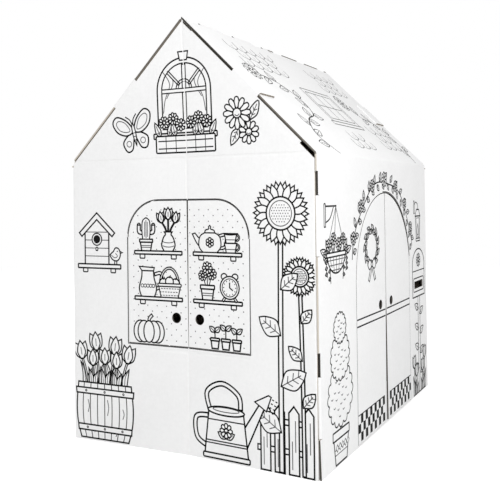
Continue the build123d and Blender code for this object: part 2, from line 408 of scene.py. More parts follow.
def liner_paper(name, low, high, flute_show, roughness):
    material, tree, shader = new_material(name)
    flat = add(tree, "UVMap", uv_map="flat").outputs["UV"]
    flutes = add(tree, "TexWave", {"Vector": flat, "Scale": wave_length_at_scale_one / flute_pitch},
                 bands_direction="X").outputs["Fac"]
    fibres = noise(tree, 900.0, 3.0, 0.7)
    clouds = maths(tree, "ADD", noise(tree, 9.0, 4.0, 0.55), noise(tree, 120.0, 3.0))
    tone = shades(tree, maths(tree, "MULTIPLY", clouds, 0.5), low, high, 0.35, 0.65)
    shine = add(tree, "MapRange", {"Value": fibres, "To Min": roughness - 0.06, "To Max": roughness + 0.06})
    felt = bump(tree, fibres, 0.35, 0.00005, bump(tree, flutes, flute_show, 0.00008))
    give(tree, shader, {"Base Color": tone, "Roughness": shine.outputs["Result"],
                        "Specular IOR Level": 0.3, "Normal": felt})
    return material


white_paper = liner_paper("white_liner", (0.875, 0.875, 0.875), (0.915, 0.915, 0.915), 0.5, 0.55)
# The inside liner is kraft-brown paper, painted a dull grey-brown darker than plain kraft as the shade inside
# the closed house.
shaded_inside_paper = liner_paper("shaded_inside_liner", (0.33, 0.28, 0.225), (0.39, 0.335, 0.275), 0.8, 0.75)
print("flutes to a metre", round(1 / flute_pitch))

# %% [markdown]
# A cut edge shows the wave of the middle paper between two thin lines. The wave is worked out
# with plain maths from the UV map: the distance of a point from a sine across the board's
# thickness, turned into paper or gap, and each gap is painted dark brown as the shade in that
# hollow. The two attributes then close the gaps where the cut runs along a flute, and scale the
# colour by the edge's painted light and shade. A Mix node for colours has them in its inputs 6 and
# 7, and its result in output 2.

# %% The cut edge
# Painted shade: the dark colour of the hollows between the flutes on a cut edge.
flute_gap_shade = (0.10, 0.085, 0.07, 1)


def face_number(tree, name):
    return add(tree, "Attribute", attribute_name=name, attribute_type="GEOMETRY").outputs["Fac"]


def cut_edge():
    material, tree, shader = new_material("cut_edge")
    flat = add(tree, "UVMap", uv_map="flat").outputs["UV"]
    parts = add(tree, "SeparateXYZ", {"Vector": flat})
    depth = parts.outputs["Y"]
    wave = maths(tree, "SINE", maths(tree, "MULTIPLY", parts.outputs["X"], 2 * math.pi / flute_pitch))
    line = maths(tree, "MULTIPLY_ADD", wave, 0.40, 0.5)
    distance = maths(tree, "ABSOLUTE", maths(tree, "SUBTRACT", depth, line))
    fluting = add(tree, "MapRange", {"Value": distance, "From Min": 0.08, "From Max": 0.16,
                                     "To Min": 1.0, "To Max": 0.0}, interpolation_type="SMOOTHSTEP")
    off_middle = maths(tree, "ABSOLUTE", maths(tree, "SUBTRACT", depth, 0.5))
    skins = add(tree, "MapRange", {"Value": off_middle, "From Min": 0.40, "From Max": 0.45},
                interpolation_type="SMOOTHSTEP")
    wavy = maths(tree, "MAXIMUM", fluting.outputs[0], skins.outputs[0])
    closed = maths(tree, "MULTIPLY", face_number(tree, "along_flutes"), 0.85)
    paper = maths(tree, "MAXIMUM", wavy, closed)
    light = shades(tree, noise(tree, 700.0, 3.0), (0.44, 0.40, 0.345), (0.60, 0.56, 0.50))
    mixed = add(tree, "Mix", {0: paper, 6: flute_gap_shade, 7: light}, data_type="RGBA").outputs[2]
    # Painted light and shade: the edge's colour is scaled by its edge_light number.
    lit_and_shaded = add(tree, "VectorMath", {0: mixed, "Scale": face_number(tree, "edge_light")}, operation="SCALE")
    give(tree, shader, {"Base Color": lit_and_shaded.outputs["Vector"], "Roughness": 0.9,
                        "Specular IOR Level": 0.1, "Normal": bump(tree, paper, 0.6, 0.0003)})
    return material


raw_edge = cut_edge()
for sheet in sheets:
    for material in (white_paper, shaded_inside_paper, raw_edge):
        sheet.data.materials.append(material)
    print(sheet.name, "materials", [m.name for m in sheet.data.materials])

# %% [markdown]
# The house is printed with line drawings for a child to colour in. Each drawing is made flat, in
# millimetres, like a sheet of artwork for the press, and only then laid on its wall. Artwork is
# made of strokes. A shape drawn in front hides the strokes behind it, so each new outline first
# cuts away what lies under it. Cutting a stroke by an outline is a small sum: find where they
# cross, and keep the stretches whose middle is outside.

# %% Cut a stroke by an outline
def is_inside(point, outline):
    inside = False
    for a, b in zip(outline, outline[1:] + outline[:1]):
        if (a.y > point.y) != (b.y > point.y):
            if point.x < a.x + (b.x - a.x) * (point.y - a.y) / (b.y - a.y):
                inside = not inside
    return inside


def box_of(points):
    return (min(p.x for p in points), min(p.y for p in points),
            max(p.x for p in points), max(p.y for p in points))


def apart(first, second):
    return (first[2] < second[0] or second[2] < first[0]
            or first[3] < second[1] or second[3] < first[1])


def crossings(a, b, outline):
    """How far along a to b, from 0 to 1, each edge of the outline is crossed."""
    found = []
    step = b - a
    for c, d in zip(outline, outline[1:] + outline[:1]):
        side = d - c
        across = step.cross(side)
        if abs(across) > 1e-9:
            along, beside = (c - a).cross(side) / across, (c - a).cross(step) / across
            if 0 < along < 1 and 0 <= beside <= 1:
                found.append(along)
    return sorted(found)


def runs_outside(points, outline):
    if apart(box_of(points), box_of(outline)):
        return [points]
    runs, run = [], []
    for a, b in zip(points, points[1:]):
        cuts = [0, *crossings(a, b, outline), 1]
        for start, end in zip(cuts, cuts[1:]):
            if is_inside(a.lerp(b, (start + end) / 2), outline):
                runs.append(run)
                run = []
            else:
                run = (run or [a.lerp(b, start)]) + [a.lerp(b, end)]
    runs = [run for run in runs + [run] if len(run) > 1]
    if len(runs) > 1 and (runs[0][0] - runs[-1][-1]).length < 1e-6:
        runs[0] = runs.pop() + runs[0][1:]
    return runs


square = [Vector(corner) for corner in ((1, 1), (3, 1), (3, 3), (1, 3))]
print("a line behind a square keeps", len(runs_outside([Vector((0, 2)), Vector((4, 2))], square)), "ends")

# %% [markdown]
# A pen draws on a panel of artwork in a frame of its own, so one drawing can be repeated in
# another place, size or direction. It draws a line, a fine grey line, a shape that hides what is
# behind it, and a patch of solid ink. Widths are in millimetres, and a panel's weight makes all
# of its lines bolder, as a coarser printing plate would.

# %% The panel and the pen
FINE = 1.8


class Panel:
    def __init__(self, name, weight=1.0):
        self.name, self.weight, self.strokes, self.patches = name, weight, [], []

    def hide(self, outline):
        self.strokes = [(run, width, ink) for points, width, ink in self.strokes
                        for run in runs_outside(points, outline)]
        self.patches = [(points, ink) for points, ink in self.patches
                        if not is_inside(sum(points, Vector((0, 0))) / len(points), outline)]


class Pen:
    def __init__(self, panel, frame=Matrix.Identity(4)):
        self.panel, self.frame = panel, frame

    def at(self, x, y, size=1.0, turn=0.0, flip=False):
        place = Matrix.Translation((x, y, 0)) @ Matrix.Rotation(math.radians(turn), 4, "Z")
        sizes = Matrix.Diagonal((-size if flip else size, size, 1, 1))
        return Pen(self.panel, self.frame @ place @ sizes)

    def put(self, points):
        return [(self.frame @ Vector((p[0], p[1], 0))).to_2d() for p in points]

    def line(self, points, width=2.5, ink="black"):
        self.panel.strokes.append((self.put(points), width, ink))

    def fine(self, points):
        self.line(points, FINE, "grey")

    def shape(self, points, width=3.2, ink="black"):
        outline = self.put(points)
        self.panel.hide(outline)
        self.panel.strokes.append((outline + outline[:1], width, ink))

    def patch(self, points, ink="black"):
        self.panel.patches.append((self.put(points), ink))


trial = Panel("trial")
Pen(trial).line([(0, 0), (10, 0)])
Pen(trial).shape([(4, -1), (6, -1), (6, 1), (4, 1)])
print("a line with a box drawn over it leaves", len(trial.strokes), "strokes")


def tell(draw, *sizes):
    """Draws one picture on an empty panel, to say what it is made of."""
    trial = Panel("trial")
    draw(Pen(trial), *sizes)
    print(draw.__name__, "has", len(trial.strokes), "strokes and", len(trial.patches), "patches")


# %% [markdown]
# Most outlines start from one of three kinds: a smooth curve through some points, an oval or a
# part of one, and a box with rounded corners. All of them are lists of points in millimetres.

# %% Outlines
def curve(points, closed=False, steps=6):
    """A smooth line through the given points."""
    points = [Vector(p) for p in points]
    count = len(points)
    line = []
    for i in range(count if closed else count - 1):
        picks = [(i + k) % count if closed else min(max(i + k, 0), count - 1) for k in (-1, 0, 1, 2)]
        before, a, b, after = (points[pick] for pick in picks)
        for step in range(steps):
            t = step / steps
            line.append((2 * a + (b - before) * t + (2 * before - 5 * a + 4 * b - after) * t * t
                         + (3 * a - before - 3 * b + after) * t ** 3) / 2)
    return line if closed else line + [points[-1]]


def towards(degrees):
    return Vector((math.cos(math.radians(degrees)), math.sin(math.radians(degrees))))


def oval(x, y, half_x, half_y=None, start=0, end=360, steps=28):
    half_y = half_y or half_x
    last = 0 if end - start == 360 else 1
    ways = [towards(start + (end - start) * i / steps) for i in range(steps + last)]
    return [Vector((x + half_x * way.x, y + half_y * way.y)) for way in ways]


def block(x0, y0, x1, y1, r=0):
    if not r:
        return [Vector(p) for p in ((x0, y0), (x1, y0), (x1, y1), (x0, y1))]
    corners = ((x1 - r, y1 - r, 0), (x0 + r, y1 - r, 90), (x0 + r, y0 + r, 180), (x1 - r, y0 + r, 270))
    return [p for x, y, start in corners for p in oval(x, y, r, r, start, start + 90, 4)]


print("points in an oval", len(oval(0, 0, 10)), "in a rounded block", len(block(0, 0, 20, 10, 3)))

# %% [markdown]
# Many things are the same left and right, so only their right half is written down. Handles,
# stalks and hoops are straps: a line with a parallel line on either side. At a bend the parallel
# line goes out to the mitre, but never by more than twice the distance, so that a sharp corner
# gets no spike.

# %% Symmetric outlines and straps
def both_sides(profile, smooth=True):
    """A symmetric outline from its right half, listed from foot to top."""
    right = curve(profile) if smooth else [Vector(p) for p in profile]
    return right + [Vector((-p.x, p.y)) for p in reversed(right) if abs(p.x) > 0.01]


def beside(line, distance):
    """The line moved sideways, with mitred corners."""
    steps = [b - a for a, b in zip(line, line[1:])]
    normals = [Vector((-step.y, step.x)).normalized() for step in steps]
    moved = []
    for point, before, after in zip(line, normals[:1] + normals, normals + normals[-1:]):
        across = (before + after).normalized()
        moved.append(point + across * distance / max(0.5, across.dot(after)))
    return moved


def strap(line, width):
    line = [Vector(p) for p in line]
    return beside(line, width / 2) + beside(line, -width / 2)[::-1]


print("a bent strap has", len(strap([(0, 0), (10, 0), (10, 10)], 2)), "corners")

# %% [markdown]
# Ink is modelled as thin ribbons lying on the paper. A ribbon starts as a chain of vertices down
# one side of the stroke. One extrude makes the other side, and moving those new vertices across
# gives the stroke its width. Solid patches are single faces.

# %% Ribbons of ink
least_step = 0.05


def even_chain(points):
    chain = [points[0]]
    for point in points[1:]:
        if (point - chain[-1]).length > least_step:
            chain.append(point)
    return chain


def chain_sides(chain, closed, width):
    if closed:
        around = [chain[-1]] + chain + [chain[0], chain[1]]
        return [beside(around, side * width / 2)[1:len(chain) + 1] for side in (1, -1)]
    return [beside(chain, side * width / 2) for side in (1, -1)]


def add_ribbon(bm, points, width):
    chain = even_chain(points)
    closed = len(chain) > 3 and (chain[0] - chain[-1]).length < 2 * least_step
    if closed:
        chain.pop()
    if len(chain) < 2:
        return
    left, right = chain_sides(chain, closed, width)
    verts = [bm.verts.new((p.x, p.y, 0)) for p in left]
    partners = list(zip(verts, verts[1:] + verts[:1])) if closed else list(zip(verts, verts[1:]))
    edges = [bm.edges.new(pair) for pair in partners]
    made = bmesh.ops.extrude_edge_only(bm, edges=edges)["geom"]
    goal = dict(zip(verts, right))
    for vert in (item for item in made if isinstance(item, bmesh.types.BMVert)):
        first = next(edge.other_vert(vert) for edge in vert.link_edges if edge.other_vert(vert) in goal)
        vert.co = (goal[first].x, goal[first].y, 0)


def add_patch(bm, points):
    bm.faces.new([bm.verts.new((p.x, p.y, 0)) for p in even_chain(points)])


trial = bmesh.new()
ring = oval(0, 0, 10)
add_ribbon(trial, ring + ring[:1], FINE)
print("a ring of ink has", len(trial.faces), "faces")
trial.free()

# %% [markdown]
# The printed walls are given as functions, from a place on the artwork to a place on the house.
# A wall's plane is not enough, because its paper dips at every crease. So the white faces of both
# sheets go into a search tree, and the ink will be sent at them with rays. Black ink stops
# 0.15 mm above the paper and grey ink 0.10 mm, so that they don't fight where they cross.

# %% The printed walls
ink_lift = {"black": 0.15 * millimetre, "grey": 0.10 * millimetre}


def outside_paper():
    bm = bmesh.new()
    for sheet in sheets:
        bm.from_mesh(sheet.data)
    inner = [face for face in bm.faces if face.material_index != OUTSIDE]
    bmesh.ops.delete(bm, geom=inner, context="FACES")
    tree = BVHTree.FromBMesh(bm)
    print("ink can land on", len(bm.faces), "faces of white paper")
    bm.free()
    return tree


paper_tree = outside_paper()


def front_gable(x, y):
    place = Vector((x, 0, y)) * millimetre
    raised = valley_depth * max(0.0, place.z - eave_height) / roof_rise
    place.y = valley_depth * (1 - abs(place.x) / half_width) - raised - half_length
    return place, Vector((0, -1, 0))


def right_wall(x, y):
    return Vector((half_width, x * millimetre - half_length, y * millimetre)), Vector((1, 0, 0))


def right_slope(x, y):
    up = y * millimetre
    place = Vector((half_width - up * math.cos(pitch), x * millimetre - half_length,
                    eave_height + up * math.sin(pitch)))
    return place, Vector((math.sin(pitch), 0, math.cos(pitch)))


# %% [markdown]
# Laying the ink takes four steps. The flat mesh is first cut along the folds and the edges of the
# pressed creases, so that it can bend there. Then every vertex is sent straight at its wall, from
# 3 mm in front of it to 1 mm behind. A vertex that meets no paper lies over a slot, a kerf or an
# edge, and goes with its faces. Last, faces that look inwards are turned round.

# %% Lay ink on a wall
ray_start, ray_reach = 3 * millimetre, 4 * millimetre


def lay_ink(bm, wall, folds, lift):
    for across in folds:
        everything = bm.verts[:] + bm.edges[:] + bm.faces[:]
        bmesh.ops.bisect_plane(bm, geom=everything, dist=1e-4, plane_co=(across, 0, 0), plane_no=(1, 0, 0))
    missed = []
    for vert in bm.verts:
        place, outward = wall(vert.co.x, vert.co.y)
        hit = paper_tree.ray_cast(place + outward * ray_start, -outward, ray_reach)[0]
        vert.co = (hit or place) + outward * lift
        if hit is None:
            missed.append(vert)
    bmesh.ops.delete(bm, geom=missed, context="VERTS")
    bm.normal_update()
    inward = [face for face in bm.faces if face.normal.dot(outward) < 0]
    bmesh.ops.reverse_faces(bm, faces=inward)


print("rays start", round(ray_start / millimetre), "mm out and reach", round(ray_reach / millimetre), "mm")

# %% [markdown]
# Printing ink on board is not quite even. It is a little thinner where the flutes let the plate
# down, and fibres show through it as fine pale specks.

# %% The inks
def printing_ink(name, dark, light):
    material, tree, shader = new_material(name)
    specks = noise(tree, 1400.0, 2.0)
    unevenness = maths(tree, "MULTIPLY", specks, noise(tree, 60.0, 3.0))
    give(tree, shader, {"Base Color": shades(tree, unevenness, dark, light, 0.2, 0.5), "Roughness": 0.6,
                        "Specular IOR Level": 0.1, "Normal": bump(tree, specks, 0.3, 0.00004)})
    return material


inks = {"black": printing_ink("black_ink", (0.002, 0.002, 0.002), (0.009, 0.009, 0.010)),
        "grey": printing_ink("fine_line_ink", (0.075, 0.075, 0.078), (0.14, 0.14, 0.145))}
print("inks", sorted(inks))

# %% [markdown]
# A printed panel becomes one piece for each ink. The house's other half is the same artwork
# turned half round the upright axis, so the ink is laid on the near wall and turned with it.

# %% Print a panel
def print_panel(panel, wall, folds, behind=False):
    """Makes the panel's ink pieces. Behind means the same wall of the other half."""
    for ink in inks:
        bm = bmesh.new()
        for points, width, kind in panel.strokes:
            if kind == ink:
                add_ribbon(bm, points, width * panel.weight)
        for points, kind in panel.patches:
            if kind == ink:
                add_patch(bm, points)
        if not bm.faces:
            bm.free()
            continue
        lay_ink(bm, wall, folds, ink_lift[ink])
        if behind:
            bmesh.ops.rotate(bm, verts=bm.verts, cent=(0, 0, 0), matrix=Matrix.Rotation(math.pi, 3, "Z"))
        name = panel.name + "_" + ink
        mesh = bpy.data.meshes.new(name)
        bm.to_mesh(mesh)
        bm.free()
        mesh.materials.append(inks[ink])
        piece = new_object(name, mesh)
        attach(piece, "root")
        print(name, len(mesh.polygons), "faces")


# %% [markdown]
# The pictures are of a cottage garden. Their parts come first, because most of them are used
# several times: a leaf, a daisy, a tulip, a pot and a shelf. They are drawn upwards from their
# foot, in millimetres. Outlines are bold, and the lines inside them are fine.

# %% Leaves and flowers
def leaf(pen, x, y, length, width, turn, ribs=2):
    pen = pen.at(x, y, 1, turn)
    half = [(0, 0), (width * 0.5, length * 0.38), (width * 0.3, length * 0.78), (0, length)]
    pen.shape(both_sides(half), 2.6)
    pen.fine([(0, 0), (0, length * 0.8)])
    for i in range(ribs):
        up = length * (0.25 + 0.22 * i)
        for side in (-1, 1):
            pen.fine([(0, up), (side * width * 0.28, up + length * 0.13)])


def daisy(pen, x, y, radius, petals=12, heart=0.3, turn=0):
    pen = pen.at(x, y, 1, turn)
    for i in range(petals):
        petal = [(radius * 0.03, heart * radius * 0.8), (radius * 2.1 / petals, radius * 0.62),
                 (radius * 1.5 / petals, radius * 0.93), (0, radius)]
        pen.at(0, 0, 1, 360 / petals * i).shape(both_sides(petal), 2.6)
    pen.shape(oval(0, 0, heart * radius), 2.8)
    pen.fine(oval(0, 0, heart * radius * 0.55, None, 200, 340, 8))


def tulip(pen, x, y, height, lean=0, size=1.0):
    """A tulip on its stalk. The stalk leans to one side as it rises."""
    top = (lean, height)
    pen = pen.at(x, y)
    pen.shape(strap(curve([(0, 0), (lean * 0.35, height * 0.5), top]), 4.5 * size), 2.4)
    head = pen.at(lean, height, size, -lean * 0.6)
    for turn in (24, -24, 0):
        petal = [(4, -3), (12, 12), (8, 28), (0, 40)]
        head.at(0, 0, 1, turn).shape(both_sides(petal), 2.8)
    head.fine([(0, 6), (0, 24)])


def blade(pen, x, y, height, width, lean):
    """A long leaf that bends over at its tip."""
    right = curve([(width / 2, 0), (width * 0.55 + lean * 0.2, height * 0.5), (lean, height)])
    left = curve([(-width / 2, 0), (-width * 0.45 + lean * 0.1, height * 0.5), (lean, height)])
    pen.at(x, y).shape(right + left[::-1][1:], 2.6)
    pen.at(x, y).fine(curve([(0, 0), (lean * 0.15, height * 0.5), (lean * 0.7, height * 0.85)]))


tell(leaf, 0, 0, 44, 22, 0)
tell(daisy, 0, 0, 27)
tell(tulip, 0, 0, 60)
tell(blade, 0, 0, 60, 16, 15)

# %% [markdown]
# A flower pot is a tapered body with a rim in front of it. A shelf is a board on two brackets, and
# its height is that of the things standing on it.

# %% Pot and shelf
def flower_pot(pen, width, height, band=True):
    half = width / 2
    foot, shoulder, rim = half * 0.68, half * 0.9, height * 0.76
    pen.shape([(-foot, 0), (foot, 0), (shoulder, rim), (-shoulder, rim)])
    if band:
        for level in (0.3, 0.45):
            reach = half * (0.68 + 0.22 * level / 0.76)
            pen.fine([(-reach, height * level), (reach, height * level)])
    pen.shape(block(-half, height * 0.74, half, height, 1.5))


def shelf(pen, x0, x1, y, thick=8):
    pen.shape(block(x0, y - thick, x1, y, 1.5))
    for x in (x0 + 16, x1 - 30):
        pen.shape(block(x, y - thick - 10, x + 14, y - thick, 2), 2.6)


tell(flower_pot, 40, 34)
tell(shelf, -68, 68, 0)

# %% [markdown]
# The things on the shutters' shelves are small, so they keep to a few clear lines each. What
# stands in front is drawn last, and hides what is behind: an arm of the cactus goes before its
# body, and fruit before the basket that holds it.

# %% Cactus, vase, jug, basket and pumpkin
def cactus(pen):
    flower_pot(pen, 38, 28)
    for side in (-1, 1):
        elbow = curve([(side * 8, 44), (side * 20, 46), (side * 21, 62)])
        pen.shape(strap(elbow, 9), 3)
        pen.shape(oval(side * 21, 62, 4.5, 4.5, 0, 180, 8), 2.6)
    pen.shape(both_sides([(10, 28), (12, 50), (10, 72), (0, 80)]), 2.6)
    for across, low, high in ((-4, 34, 70), (0, 31, 74), (4, 34, 70)):
        pen.fine([(across, low), (across, high)])


def vase(pen):
    tulip(pen, -3, 40, 30, -16, 0.62)
    tulip(pen, 3, 40, 30, 16, 0.62)
    tulip(pen, 0, 40, 38, 0, 0.66)
    pen.shape(both_sides([(12, 0), (19, 14), (14, 32), (8, 40), (11, 46)]), 3)
    for level, reach in ((11, 17), (21, 17)):
        pen.fine(oval(0, level + 4, reach, 5, 200, 340, 10))


def jug(pen):
    pen.shape(strap(curve([(20, 54), (38, 56), (38, 28), (20, 18)]), 7), 2.6)
    pen.shape(both_sides([(19, 0), (25, 20), (18, 46), (17, 62)]), 3)
    pen.shape([(-17, 62), (17, 62), (19, 70), (-25, 72)], 2.8)
    for i in range(5):
        pen.shape(oval(-16 + 8 * i, 26, 4, 4, steps=10), FINE, "grey")


def basket(pen):
    pen.shape(strap(oval(0, 24, 27, 46, 0, 180, 16), 5), 2.6)
    for across, up in ((-17, 34), (17, 34), (0, 38)):
        pen.shape(oval(across, up, 11), 2.8)
        pen.line([(across, up + 8), (across + 3, up + 15)], 2.4)
    pen.shape([(-24, 0), (24, 0), (31, 28), (-31, 28)], 2.6)
    for row in range(3):
        for column in range(7):
            left = -26 + row + column * 7.6 - (row % 2) * 3
            pen.fine([(left, 5 + row * 8), (left + 5, 5 + row * 8)])
    pen.shape(block(-33, 26, 33, 33, 3), 2.6)


def pumpkin(pen):
    pen.shape(strap(curve([(0, 48), (2, 58), (10, 66)]), 7), 2.6)
    for across, wide in ((-25, 19), (25, 19), (-14, 18), (14, 18), (0, 15)):
        pen.shape(oval(across, 26, wide, 26), 2.8)


for draw in (cactus, vase, jug, basket, pumpkin):
    tell(draw)

# %% [markdown]
# A teapot, a pile of cups and an alarm clock stand on the other leaf's shelves. A handle is a
# strap bent along a curve, and the pot's or the cup's own outline then hides its two ends.

# %% Teapot, cups, clock and seedlings
def teapot(pen):
    pen.shape(strap(curve([(26, 38), (46, 40), (42, 14), (24, 10)]), 6), 2.6)
    pen.shape(curve([(-24, 8), (-38, 22), (-50, 42)]) + curve([(-42, 44), (-32, 34), (-24, 30)]), 2.6)
    pen.shape(both_sides([(20, 0), (31, 14), (28, 36), (13, 46)]), 2.6)
    pen.shape(both_sides([(14, 45), (12, 51), (3, 54), (3, 59), (0, 62)]), 2.6)
    daisy(pen, 0, 23, 11, 6)


def cups(pen):
    for level in (0, 22):
        pen.shape(strap(oval(15, level + 13, 8, 7, -80, 80, 8), 3.5), 2.4)
        pen.shape([(-12, level), (12, level), (17, level + 22), (-17, level + 22)], 2.8)
        pen.fine([(-14, level + 8), (14, level + 8)])
    pen.line(oval(0, 44, 17, 3, 180, 360, 8), 2.4)


def clock(pen):
    for side in (-1, 1):
        pen.shape(strap([(side * 13, 8), (side * 19, 0)], 5), 2.4)
        pen.shape(oval(side * 15, 56, 8, 7, steps=14), 2.6)
    pen.shape(oval(0, 31, 26), 2.8)
    pen.shape(oval(0, 31, 20.5), FINE)
    for hour in range(12):
        ray = towards(30 * hour)
        pen.line([ray * 15 + Vector((0, 31)), ray * 18 + Vector((0, 31))], FINE)
    pen.line([(0, 43), (0, 31), (9, 25)], 2.6)


def seedlings(pen, count=3):
    for i in range(count):
        pot = pen.at(30 * i, 0)
        tall = 16 + 5 * (i % 2)
        pot.line([(0, 22), (0, 24 + tall)], 2.6)
        leaf(pot, 0, 22 + tall, 19, 12, 52, 0)
        leaf(pot, 0, 22 + tall, 19, 12, -52, 0)
        flower_pot(pot, 25, 24, False)


for draw in (teapot, cups, clock, seedlings):
    tell(draw)

# %% [markdown]
# The large pictures stand beside the shutters. On the left are a bird house on its shelf, with a
# bird, and a half barrel of tulips. The barrel's staves follow its bulging side: each stave line
# is the side's own curve drawn nearer to the middle.

# %% Bird house and tulip barrel
def bird_house(pen):
    shelf(pen, -66, 66, 0, 10)
    pen.shape([(-44, 0), (30, 0), (30, 78), (-7, 112), (-44, 78)])
    for up in (20, 40, 60, 80):
        reach = 37 if up < 78 else 37 - (up - 78) * 1.1
        pen.fine([(-7 - reach, up), (-7 + reach, up)])
    pen.shape([(-7, 128), (-62, 78), (-54, 69), (-7, 111), (40, 69), (48, 78)])
    pen.shape(oval(-7, 62, 15), 2.6)
    pen.patch(oval(-7, 62, 10.5))
    pen.shape(block(-10, 34, -4, 42, 2), 2.4)
    bird = pen.at(50, 3)
    bird.line([(-2, 6), (-3, -3)], 2.4)
    bird.line([(4, 6), (4, -3)], 2.4)
    bird.shape(curve([(-16, 20), (-6, 8), (8, 8), (15, 22), (10, 36), (0, 38), (-6, 30)], True), 2.8)
    bird.line([(14, 30), (22, 27), (14, 25)], 2.4)
    bird.patch(oval(6, 30, 1.8, steps=8))
    bird.fine(curve([(-12, 20), (-2, 14), (6, 18), (0, 25)]))


def tulip_barrel(pen):
    for across, tall, lean in ((-56, 66, -18), (-18, 92, -8), (22, 84, 12), (58, 64, 18)):
        blade(pen, across - 8, 150, tall * 0.85, 16, -16)
        tulip(pen, across, 150, tall, lean, 1.12)
        blade(pen, across + 8, 150, tall * 0.7, 15, 15)
    for across, tall in ((-38, 50), (2, 56), (40, 48)):
        tulip(pen, across, 150, tall, 0, 1.0)
        blade(pen, across - 6, 150, tall * 0.8, 13, -9)
        blade(pen, across + 7, 150, tall * 0.65, 13, 10)
    side = [(78, 2), (90, 44), (93, 92), (87, 150)]
    pen.shape(both_sides(side))
    staves = curve(side)
    for share in (-0.78, -0.52, -0.26, 0, 0.26, 0.52, 0.78):
        pen.line([(p.x * share, p.y) for p in staves], 2)
    for x, low, high in ((-55.8, 70, 104), (-34.2, 18, 40), (9, 66, 108), (59.4, 62, 88), (36, 14, 30)):
        pen.fine(curve([(x, low), (x + 4, (low + high) / 2), (x, high)]))
    for low, reach in ((22, 87), (120, 93.5)):
        pen.shape([(-reach, low), (reach, low), (reach + 1.5, low + 15), (-reach - 1.5, low + 15)])
        for share in (-0.66, 0, 0.66):
            pen.shape(oval(reach * share, low + 7.5, 2.4, steps=10), FINE)


tell(bird_house)
tell(tulip_barrel)

# %% [markdown]
# On the right stand a watering can and a picket fence. The can's handles and spout are drawn
# before its body, which then hides where they join. The water leaves the rose as short dashes.

# %% Watering can and fence
def watering_can(pen):
    pen.shape(strap(curve([(-44, 108), (-52, 150), (-10, 172), (34, 150), (40, 118)]), 10))
    pen.shape(strap(curve([(-50, 96), (-84, 88), (-82, 44), (-54, 26)]), 10))
    pen.shape([(50, 20), (60, 42), (104, 132), (92, 140), (44, 70)])
    pen.shape([(108, 124), (121, 157), (114, 160), (78, 142)], 2.6)
    for share in (0.1, 0.37, 0.63, 0.9):
        drop = pen.at(108 + 13 * share, 124 + 33 * share, 1, -112)
        drop.line([(0, 4), (0, 9)], 2.2)
        drop.line([(0, 13), (0, 18)], 2.2)
    pen.shape([(-60, 8), (60, 8), (48, 106), (-48, 106)])
    pen.shape(block(-64, 0, 64, 11, 3))
    pen.shape(oval(0, 110, 50, 10))
    pen.shape(oval(0, 113, 36, 5), FINE, "grey")
    for level, reach in ((34, 57), (40, 56)):
        pen.line([(-reach, level), (reach, level)], 2.4)
    pen.line([(-51, 88), (51, 88)], 2.4)
    leaf(pen, 0, 48, 26, 14, 60, 1)
    leaf(pen, 0, 48, 26, 14, -60, 1)
    daisy(pen, 0, 66, 17, 8)


def picket_fence(pen, x, count, height):
    for level in (height * 0.3, height * 0.72):
        pen.shape(block(x - 8, level, x + count * 36 - 4, level + 12), 2.8)
    for i in range(count):
        left = x + 36 * i
        pale = [(0, 3), (25, 3), (25, height - 15), (12.5, height), (0, height - 15)]
        pen.at(left, 0).shape(pale)
        pen.fine([(left + 8, 14), (left + 8, height * 0.5)])
        pen.fine([(left + 16, height * 0.35), (left + 16, height * 0.8)])


tell(watering_can)
tell(picket_fence, 0, 4, 150)

# %% [markdown]
# Two sunflowers grow at the corner, one of them almost up to the eave. A sunflower's petals are
# one petal turned round its head in two rings, a back ring and a front one half a petal further
# on. Its seeds are rows of dots, kept where they fall inside the head.

# %% Sunflower
def sunflower(pen, x, stalk, height, radius, leaves, lean=0):
    """The stalk rises from x to a head that stands a little to one side."""
    line = curve([(x, 4), (x + lean * 0.2, height * 0.5), (x + lean, height)])
    pen.shape(strap(line, stalk))
    for level, turn, length in leaves:
        across = x + lean * (level / height) ** 2
        leaf(pen, across, level, length, length * 0.62, turn, 3)
    for ring, reach in ((9, 1.0), (-1, 0.96)):
        for i in range(18):
            petal = [(radius * 0.08, radius * 0.4), (radius * 0.13, radius * 0.7), (0, radius * reach)]
            pen.at(x + lean, height, 1, 20 * i + ring).shape(both_sides(petal), 2.6)
    pen.shape(oval(x + lean, height, radius * 0.52))
    pen.shape(oval(x + lean, height, radius * 0.40), FINE, "grey")
    seed = radius * 0.4
    for row in range(-5, 6):
        for column in range(-5, 6):
            across, up = (column + (row % 2) / 2) * seed / 4.4, row * seed / 4.6
            if math.hypot(across, up) < seed * 0.86:
                pen.patch(oval(x + lean + across, height + up, 1.5, 1.5, steps=6), "grey")


tell(sunflower, 0, 11, 566, 70, [])

# %% [markdown]
# The gable's point holds an arched attic window with a box of flowers, and a butterfly whose
# second pair of wings is the first pair drawn by a flipped pen.

# %% Butterfly and attic window
def butterfly(pen):
    for flip in (False, True):
        wing = pen.at(0, 0, 1, 0, flip)
        wing.shape(curve([(2, -4), (20, -4), (42, -22), (34, -48), (16, -46), (6, -22)], True))
        wing.shape(curve([(2, 4), (16, 34), (46, 54), (64, 40), (54, 12), (26, -4)], True))
        wing.fine(curve([(12, 8), (24, 32), (44, 42), (53, 34), (45, 16), (26, 6)], True) + [Vector((12, 8))])
        wing.shape(oval(24, -28, 8, steps=16), FINE, "grey")
        wing.line(curve([(1, 22), (6, 36), (16, 46)]), 2.4)
        wing.patch(oval(17, 47, 2.2, steps=8))
    pen.shape(both_sides([(0, -38), (4.5, -16), (5, 6), (3.5, 18), (0, 25)]), 2.6)
    for level in (-22, -12, -2):
        pen.fine([(-4, level), (4, level)])


